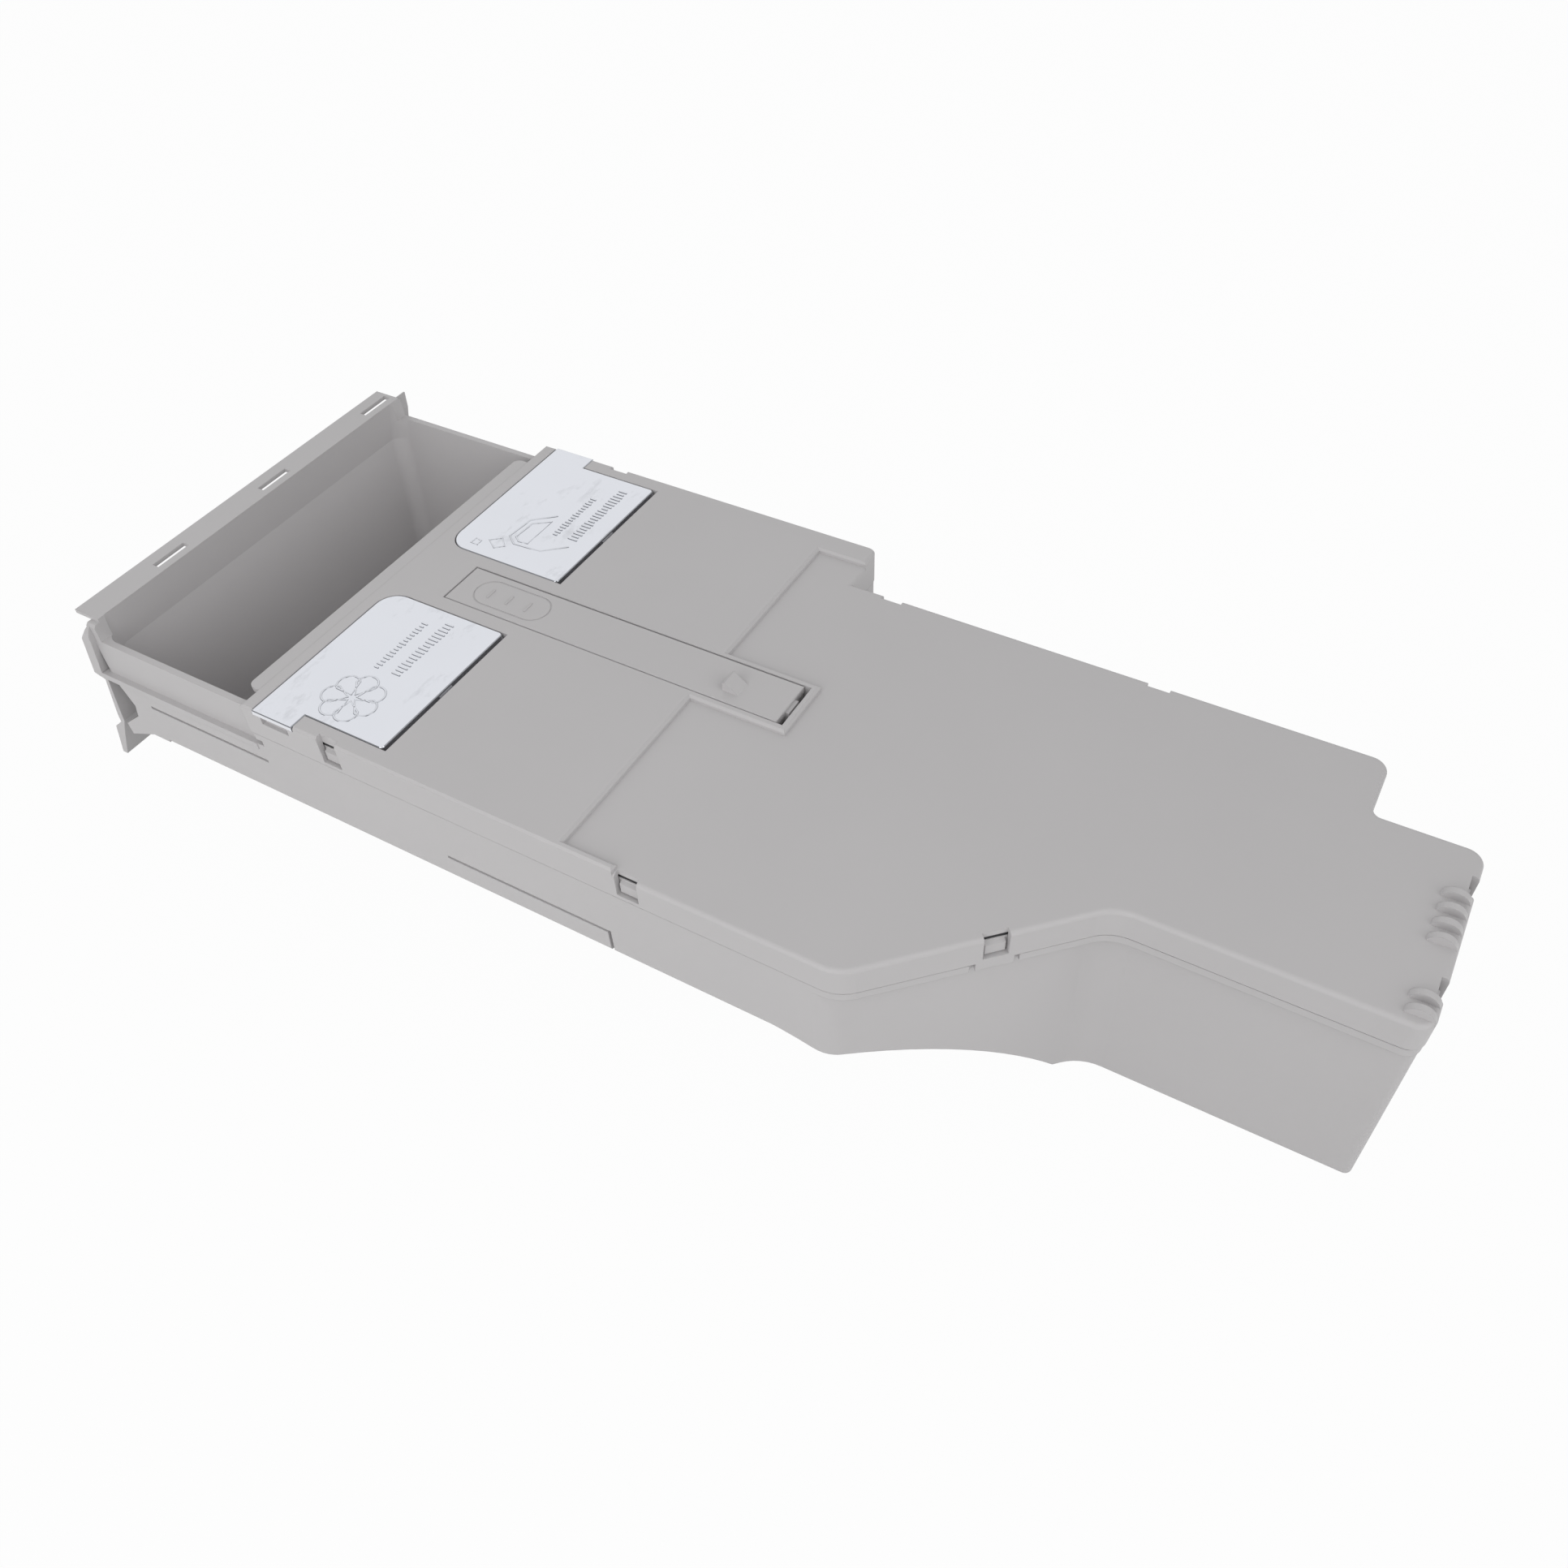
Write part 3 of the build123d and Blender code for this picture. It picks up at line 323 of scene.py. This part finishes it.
def tick_row_tree(material):
    """Node tree: a row of small raised ticks of uneven length."""
    tree = bpy.data.node_groups.new("Row of ticks", "GeometryNodeTree")
    face = tree.interface
    face.new_socket(name="Geometry", in_out="OUTPUT", socket_type="NodeSocketGeometry")
    for name, kind in (
        ("Start", "NodeSocketVector"),
        ("End", "NodeSocketVector"),
        ("Count", "NodeSocketInt"),
        ("Length", "NodeSocketFloat"),
        ("Width", "NodeSocketFloat"),
        ("Rise", "NodeSocketFloat"),
        ("Seed", "NodeSocketInt"),
    ):
        face.new_socket(name=name, in_out="INPUT", socket_type=kind)
    new = tree.nodes.new
    link = tree.links.new
    given = new("NodeGroupInput")
    result = new("NodeGroupOutput")
    row = new("GeometryNodeMeshLine")
    row.mode = "END_POINTS"
    link(given.outputs["Count"], row.inputs["Count"])
    link(given.outputs["Start"], row.inputs["Start Location"])
    link(given.outputs["End"], row.inputs["Offset"])
    size = new("ShaderNodeCombineXYZ")
    link(given.outputs["Width"], size.inputs["X"])
    link(given.outputs["Length"], size.inputs["Y"])
    link(given.outputs["Rise"], size.inputs["Z"])
    tick = new("GeometryNodeMeshCube")
    link(size.outputs["Vector"], tick.inputs["Size"])
    uneven = new("FunctionNodeRandomValue")
    uneven.data_type = "FLOAT"
    uneven.inputs[2].default_value = SHORTEST_TICK
    uneven.inputs[3].default_value = 1.0
    link(given.outputs["Seed"], uneven.inputs["Seed"])
    stretch = new("ShaderNodeCombineXYZ")
    stretch.inputs["X"].default_value = 1.0
    stretch.inputs["Z"].default_value = 1.0
    link(uneven.outputs[1], stretch.inputs["Y"])
    repeat = new("GeometryNodeInstanceOnPoints")
    link(row.outputs["Mesh"], repeat.inputs["Points"])
    link(tick.outputs["Mesh"], repeat.inputs["Instance"])
    link(stretch.outputs["Vector"], repeat.inputs["Scale"])
    real = new("GeometryNodeRealizeInstances")
    link(repeat.outputs["Instances"], real.inputs["Geometry"])
    paint = new("GeometryNodeSetMaterial")
    paint.inputs["Material"].default_value = material
    link(real.outputs["Geometry"], paint.inputs["Geometry"])
    link(paint.outputs["Geometry"], result.inputs["Geometry"])
    return tree


def tick_row(tree, start, end, count, length, width, rise, seed):
    """Mesh of one row made by the node tree."""
    holder = bpy.data.objects.new("row", bpy.data.meshes.new("row"))
    bpy.context.scene.collection.objects.link(holder)
    modifier = holder.modifiers.new("Row of ticks", "NODES")
    modifier.node_group = tree
    names = socket_names(tree)
    for key, value in (
        ("Start", start),
        ("End", end),
        ("Count", count),
        ("Length", length),
        ("Width", width),
        ("Rise", rise),
        ("Seed", seed),
    ):
        modifier[names[key]] = value
    depsgraph = bpy.context.evaluated_depsgraph_get()
    mesh = bpy.data.meshes.new_from_object(holder.evaluated_get(depsgraph))
    holder.modifiers.remove(modifier)
    bpy.data.objects.remove(holder)
    return mesh


# What a user can change


class MouldingSettings(bpy.types.PropertyGroup):
    """Finish of the grey mouldings."""

    colour: FloatVectorProperty(
        name="Colour",
        description="Colour of the moulded plastic",
        subtype="COLOR",
        default=(0.572, 0.559, 0.563),
        min=0,
        max=1,
    )
    roughness: FloatProperty(
        name="Roughness",
        description="How matt the plastic is",
        default=0.42,
        min=0.05,
        max=0.9,
    )
    clouding: FloatProperty(
        name="Clouding",
        description="How much the tone varies over the surface",
        default=0.012,
        min=0,
        max=0.2,
    )
    grain: FloatProperty(
        name="Grain",
        description="Strength of the fine surface grain",
        default=0.25,
        min=0,
        max=1,
    )
    edge: FloatProperty(
        name="Edge softness",
        description="Radius that the edges look rounded by",
        subtype="DISTANCE",
        default=0.0003,
        min=0,
        max=0.003,
    )


class ChromeSettings(bpy.types.PropertyGroup):
    """Finish of the plated lids."""

    colour: FloatVectorProperty(
        name="Colour",
        description="Colour of the plating",
        subtype="COLOR",
        default=(0.745, 0.757, 0.795),
        min=0,
        max=1,
    )
    roughness: FloatProperty(
        name="Roughness",
        description="How blurred the reflections are",
        default=0.12,
        min=0.02,
        max=0.6,
    )
    smudging: FloatProperty(
        name="Smudging",
        description="How dark the smudges are",
        default=0.14,
        min=0,
        max=0.6,
    )
    edge: FloatProperty(
        name="Edge softness",
        description="Radius that the edges look rounded by",
        subtype="DISTANCE",
        default=0.00012,
        min=0,
        max=0.003,
    )


class MarkSettings(bpy.types.PropertyGroup):
    """Raised marks on the lids."""

    line_width: FloatProperty(
        name="Line width",
        description="Width of the raised lines",
        subtype="DISTANCE",
        default=0.0008,
        min=0.0002,
        max=0.002,
    )
    petals: IntProperty(
        name="Petals",
        description="Number of petals of the flower",
        default=7,
        min=3,
        max=12,
    )
    flower_radius: FloatProperty(
        name="Flower radius",
        description="Radius of the flower",
        subtype="DISTANCE",
        default=0.0118,
        min=0.003,
        max=0.02,
    )
    tick_rise: FloatProperty(
        name="Tick rise",
        description="How far the ticks stand out of the lid",
        subtype="DISTANCE",
        default=0.00026,
        min=0.0001,
        max=0.002,
    )


class StageSettings(bpy.types.PropertyGroup):
    """Light around the drawer."""

    sky: FloatProperty(
        name="Sky strength",
        description="Strength of the light from all sides",
        default=0.58,
        min=0,
        max=5,
    )
    mirrored: FloatProperty(
        name="Mirrored far side",
        description="Brightness that the lids mirror",
        default=0.61,
        min=0,
        max=5,
    )
    side_lamp: FloatProperty(
        name="Side lamp",
        description="Power of the large soft lamp beside the drawer",
        subtype="POWER",
        default=2.35,
        min=0,
        max=200,
    )
    front_lamp: FloatProperty(
        name="Front lamp",
        description="Power of the large soft lamp that the lids mirror",
        subtype="POWER",
        default=3.4,
        min=0,
        max=200,
    )
    rear_lamp: FloatProperty(
        name="Rear lamp",
        description="Power of the large soft lamp behind the drawer",
        subtype="POWER",
        default=4.2,
        min=0,
        max=200,
    )


class DrawerSettings(bpy.types.PropertyGroup):
    """All settings of the drawer."""

    moulding: PointerProperty(type=MouldingSettings)
    chrome: PointerProperty(type=ChromeSettings)
    marks: PointerProperty(type=MarkSettings)
    stage: PointerProperty(type=StageSettings)


# Operators


class DRAWER_OT_mouldings(bpy.types.Operator):
    """Finish the body, the cover and the lever as satin grey mouldings"""

    bl_idname = "drawer.mouldings"
    bl_label = "Grey mouldings"

    def execute(self, context):
        settings = context.scene.drawer.moulding
        finish(MOULDINGS, moulded_plastic("Grey polypropylene", settings))
        return {"FINISHED"}


class DRAWER_OT_lids(bpy.types.Operator):
    """Finish the two filler lids as smudged chrome plating"""

    bl_idname = "drawer.lids"
    bl_label = "Chromed lids"

    def execute(self, context):
        settings = context.scene.drawer.chrome
        material = plated_chrome("Chrome plating", settings)
        finish([f"{tank}_lid" for tank in TANKS], material)
        return {"FINISHED"}


class DRAWER_OT_small_parts(bpy.types.Operator):
    """Finish the seals, springs, pins, valves, floats and magnets"""

    bl_idname = "drawer.small_parts"
    bl_label = "Small parts"

    def execute(self, context):
        rubber = plain_finish("Black rubber", (0.028, 0.028, 0.030), 0.65, 0.0, 900.0)
        steel = plain_finish("Stainless steel", (0.56, 0.56, 0.57), 0.28, 1.0, 1500.0)
        acetal = plain_finish("White acetal", (0.78, 0.78, 0.75), 0.38, 0.0, 1200.0)
        magnet = plain_finish("Sintered magnet", (0.09, 0.09, 0.10), 0.5, 0.8, 1400.0)
        finish(["tank_gasket"], rubber)
        finish(["lever_pin", "lever_spring"], steel)
        wires = ("lid_pin", "valve_spring", "float_pin")
        moulded = ("valve_cage", "valve_poppet", "float")
        for tank in TANKS:
            finish([f"{tank}_lid_seal", f"{tank}_valve_seal"], rubber)
            finish([f"{tank}_{part}" for part in wires], steel)
            finish([f"{tank}_{part}" for part in moulded], acetal)
            finish([f"{tank}_float_magnet"], magnet)
        return {"FINISHED"}


def closing_spring(name, axis):
    """Stand-in for a spring: a copy of its mesh where it stands, with the original
    piece hidden.
    """
    low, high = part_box(name)
    fixed, moved = (low + high) / 2, (low + high) / 2
    fixed[axis], moved[axis] = low[axis], high[axis]
    mesh = nodes[name].data.copy()
    mesh.transform(nodes[name].matrix_world)
    material = nodes[name].material_slots[0].material
    mesh.materials.clear()
    mesh.materials.append(material)
    piece = bpy.data.objects.new(f"{name}_coil", mesh)
    bpy.context.scene.collection.objects.link(piece)
    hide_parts(name)
    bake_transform(piece)


class DRAWER_OT_springs(bpy.types.Operator):
    """Put a still stand-in copy in place of each spring"""

    bl_idname = "drawer.springs"
    bl_label = "Closing springs"

    def execute(self, context):
        closing_spring("lever_spring", 2)
        for tank in TANKS:
            closing_spring(f"{tank}_valve_spring", 1)
        return {"FINISHED"}


def chrome_of(tank):
    return nodes[f"{tank}_lid"].material_slots[0].material


class DRAWER_OT_softener_marks(bpy.types.Operator):
    """Raise a plain flower on the softener lid"""

    bl_idname = "drawer.softener_marks"
    bl_label = "Flower on the softener lid"

    def execute(self, context):
        marks = context.scene.drawer.marks
        (centre,) = in_metres([FLOWER_CENTRE])
        lines = []
        for number in range(marks.petals):
            angle = 2 * pi * (number + 0.5) / marks.petals
            spread = marks.flower_radius * sin(pi / marks.petals) * PETAL_FILL
            lines.append((petal(centre, angle, marks.flower_radius, spread), True))
        mesh = strokes("softener_flower", lines, marks.line_width)
        material = chrome_of("softener")
        add_object("softener_flower", mesh, "softener_lid", material)
        return {"FINISHED"}


class DRAWER_OT_detergent_marks(bpy.types.Operator):
    """Raise a plain bottle with a cap and a drop on the detergent lid"""

    bl_idname = "drawer.detergent_marks"
    bl_label = "Bottle on the detergent lid"

    def execute(self, context):
        marks = context.scene.drawer.marks
        lines = [
            (in_metres(BOTTLE), False),
            (in_metres(BOTTLE_LABEL), True),
            (in_metres(BOTTLE_CAP), True),
            (in_metres(DROP), True),
        ]
        mesh = strokes("detergent_bottle", lines, marks.line_width)
        material = chrome_of("detergent")
        add_object("detergent_bottle", mesh, "detergent_lid", material)
        return {"FINISHED"}


class DRAWER_OT_tick_rows(bpy.types.Operator):
    """Lay two rows of plain raised ticks on each lid"""

    bl_idname = "drawer.tick_rows"
    bl_label = "Rows of ticks"

    def execute(self, context):
        marks = context.scene.drawer.marks
        lid_top = Vector((0, 0, LID_TOP))
        for tank, lines in TICK_ROWS.items():
            material = chrome_of(tank)
            tree = tick_row_tree(material)
            for number, (start, end, count, length) in enumerate(lines):
                mesh = tick_row(
                    tree,
                    Vector((*start, 0)) * MM + lid_top,
                    Vector((*end, 0)) * MM + lid_top,
                    count,
                    length * MM,
                    TICK_WIDTH * MM,
                    2 * marks.tick_rise,
                    FIRST_TICK_SEED + number,
                )
                name = f"{tank}_ticks_{number + 1}"
                add_object(name, mesh, f"{tank}_lid", material)
        return {"FINISHED"}


class DRAWER_OT_stage(bpy.types.Operator):
    """Set the floor, the light and the camera"""

    bl_idname = "drawer.stage"
    bl_label = "Floor, light and camera"

    def execute(self, context):
        stage = context.scene.drawer.stage
        white_floor()
        sky_light(stage.sky, stage.mirrored)
        soft_lamp("Side lamp", SIDE_LAMP, DRAWER_MIDDLE, stage.side_lamp)
        soft_lamp("Front lamp", FRONT_LAMP, LIDS_MIDDLE, stage.front_lamp)
        soft_lamp("Rear lamp", REAR_LAMP, LIDS_MIDDLE, stage.rear_lamp)
        photo_camera()
        context.scene.view_settings.view_transform = "Standard"
        return {"FINISHED"}


def white_floor():
    """Pale floor that shows white and still takes the drawer's shadow."""
    half = FLOOR_HALF
    mesh = bpy.data.meshes.new("floor")
    corners = [(-half, -half, 0), (half, -half, 0), (half, half, 0), (-half, half, 0)]
    mesh.from_pydata(corners, [], [(0, 1, 2, 3)])
    floor = bpy.data.objects.new("floor", mesh)
    bpy.context.scene.collection.objects.link(floor)
    material, tree, shader, add = new_material("White paper")
    shader.inputs["Base Color"].default_value = FLOOR_GREY
    shader.inputs["Roughness"].default_value = 0.9
    glow = add("ShaderNodeEmission", Strength=1.0)
    mix = tree.nodes.new("ShaderNodeMixShader")
    path = tree.nodes.new("ShaderNodeLightPath")

    def combine(operation, first):
        """A math node with its first input linked."""
        node = tree.nodes.new("ShaderNodeMath")
        node.operation = operation
        tree.links.new(first, node.inputs[0])
        return node

    seen = combine("MAXIMUM", path.outputs["Is Camera Ray"])
    tree.links.new(path.outputs["Is Glossy Ray"], seen.inputs[1])
    seen_too = combine("MAXIMUM", seen.outputs["Value"])
    tree.links.new(path.outputs["Is Transmission Ray"], seen_too.inputs[1])
    fade = combine("MULTIPLY", seen_too.outputs["Value"])
    fade.inputs[1].default_value = FLOOR_GLOW
    tree.links.new(fade.outputs["Value"], mix.inputs["Fac"])
    tree.links.new(shader.outputs["BSDF"], mix.inputs[1])
    tree.links.new(glow.outputs["Emission"], mix.inputs[2])
    output = tree.nodes["Material Output"]
    tree.links.new(mix.outputs["Shader"], output.inputs["Surface"])
    mesh.materials.append(material)


def sky_light(strength, mirrored):
    """Light from all sides, brightest low down; the lids mirror a brighter far side."""
    world = bpy.data.worlds.new("Studio")
    world.use_nodes = True
    tree = world.node_tree
    link = tree.links.new
    look = tree.nodes.new("ShaderNodeTexCoord")

    def along(direction, low, high, from_min, from_max):
        """Strength that grows from low to high towards a direction."""
        toward = tree.nodes.new("ShaderNodeVectorMath")
        toward.operation = "DOT_PRODUCT"
        toward.inputs[1].default_value = Vector(direction).normalized()
        link(look.outputs["Generated"], toward.inputs[0])
        grow = tree.nodes.new("ShaderNodeMapRange")
        for key, value in (
            ("From Min", from_min),
            ("From Max", from_max),
            ("To Min", low),
            ("To Max", high),
        ):
            grow.inputs[key].default_value = value
        link(toward.outputs["Value"], grow.inputs["Value"])
        return grow.outputs["Result"]

    sky = tree.nodes["Background"]
    sky.inputs["Color"].default_value = (1, 1, 1, 1)
    horizon, zenith = 1.1 * strength, 0.72 * strength
    link(along((0, 0, 1), horizon, zenith, 0.1, 0.95), sky.inputs["Strength"])
    far_side = tree.nodes.new("ShaderNodeBackground")
    far_side.inputs["Color"].default_value = (0.97, 0.98, 1, 1)
    link(along(MIRRORED_SIDE, 0.2, mirrored, 0.0, 0.8), far_side.inputs["Strength"])
    white = tree.nodes.new("ShaderNodeBackground")
    white.inputs["Color"].default_value = (1, 1, 1, 1)
    white.inputs["Strength"].default_value = 1.0
    path = tree.nodes.new("ShaderNodeLightPath")
    mirror = tree.nodes.new("ShaderNodeMixShader")
    link(path.outputs["Is Glossy Ray"], mirror.inputs["Fac"])
    link(sky.outputs["Background"], mirror.inputs[1])
    link(far_side.outputs["Background"], mirror.inputs[2])
    mix = tree.nodes.new("ShaderNodeMixShader")
    link(path.outputs["Is Camera Ray"], mix.inputs["Fac"])
    link(mirror.outputs["Shader"], mix.inputs[1])
    link(white.outputs["Background"], mix.inputs[2])
    link(mix.outputs["Shader"], tree.nodes["World Output"].inputs["Surface"])
    bpy.context.scene.world = world


def soft_lamp(name, place_and_size, target, power):
    """A square soft lamp that looks at the target."""
    place, size = place_and_size
    lamp = bpy.data.lights.new(name, "AREA")
    lamp.size = size
    lamp.energy = power
    holder = bpy.data.objects.new(name, lamp)
    holder.location = place
    holder.rotation_euler = (target - place).to_track_quat("-Z", "Y").to_euler()
    bpy.context.scene.collection.objects.link(holder)


def photo_camera():
    """The camera at the photograph's place, turned by yaw, pitch and roll."""
    yaw, pitch, roll = map(radians, (CAMERA_YAW, CAMERA_PITCH, CAMERA_ROLL))
    ahead = Vector((cos(pitch) * cos(yaw), cos(pitch) * sin(yaw), -sin(pitch)))
    right = ahead.cross(Vector((0, 0, 1))).normalized()
    down = ahead.cross(right)
    turned_right = cos(roll) * right + sin(roll) * down
    turned_down = cos(roll) * down - sin(roll) * right
    lens = bpy.data.cameras.new("Camera")
    lens.sensor_width = 36.0
    lens.lens = CAMERA_LENS
    lens.clip_start = 0.01
    camera = bpy.data.objects.new("Camera", lens)
    turn = Matrix((turned_right, -turned_down, -ahead)).transposed().to_4x4()
    camera.matrix_world = Matrix.Translation(CAMERA_PLACE) @ turn
    bpy.context.scene.collection.objects.link(camera)
    bpy.context.scene.camera = camera


class DRAWER_PT_panel(bpy.types.Panel):
    """Panel that lists the drawer's operators"""

    bl_label = "Dispenser drawer"
    bl_idname = "DRAWER_PT_panel"
    bl_space_type = "VIEW_3D"
    bl_region_type = "UI"
    bl_category = "Drawer"

    def draw(self, context):
        for operator in OPERATORS:
            self.layout.operator(operator.bl_idname)


OPERATORS = (
    DRAWER_OT_mouldings,
    DRAWER_OT_lids,
    DRAWER_OT_small_parts,
    DRAWER_OT_springs,
    DRAWER_OT_softener_marks,
    DRAWER_OT_detergent_marks,
    DRAWER_OT_tick_rows,
    DRAWER_OT_stage,
)
CLASSES = (
    MouldingSettings,
    ChromeSettings,
    MarkSettings,
    StageSettings,
    DrawerSettings,
    *OPERATORS,
    DRAWER_PT_panel,
)


def register():
    for item in CLASSES:
        bpy.utils.register_class(item)
    bpy.types.Scene.drawer = PointerProperty(type=DrawerSettings)


def unregister():
    del bpy.types.Scene.drawer
    for item in reversed(CLASSES):
        bpy.utils.unregister_class(item)


def main():
    register()
    bpy.ops.drawer.mouldings()
    bpy.ops.drawer.lids()
    bpy.ops.drawer.small_parts()
    bpy.ops.drawer.springs()
    bpy.ops.drawer.softener_marks()
    bpy.ops.drawer.detergent_marks()
    bpy.ops.drawer.tick_rows()
    bpy.ops.drawer.stage()


if __name__ == "__main__":
    main()
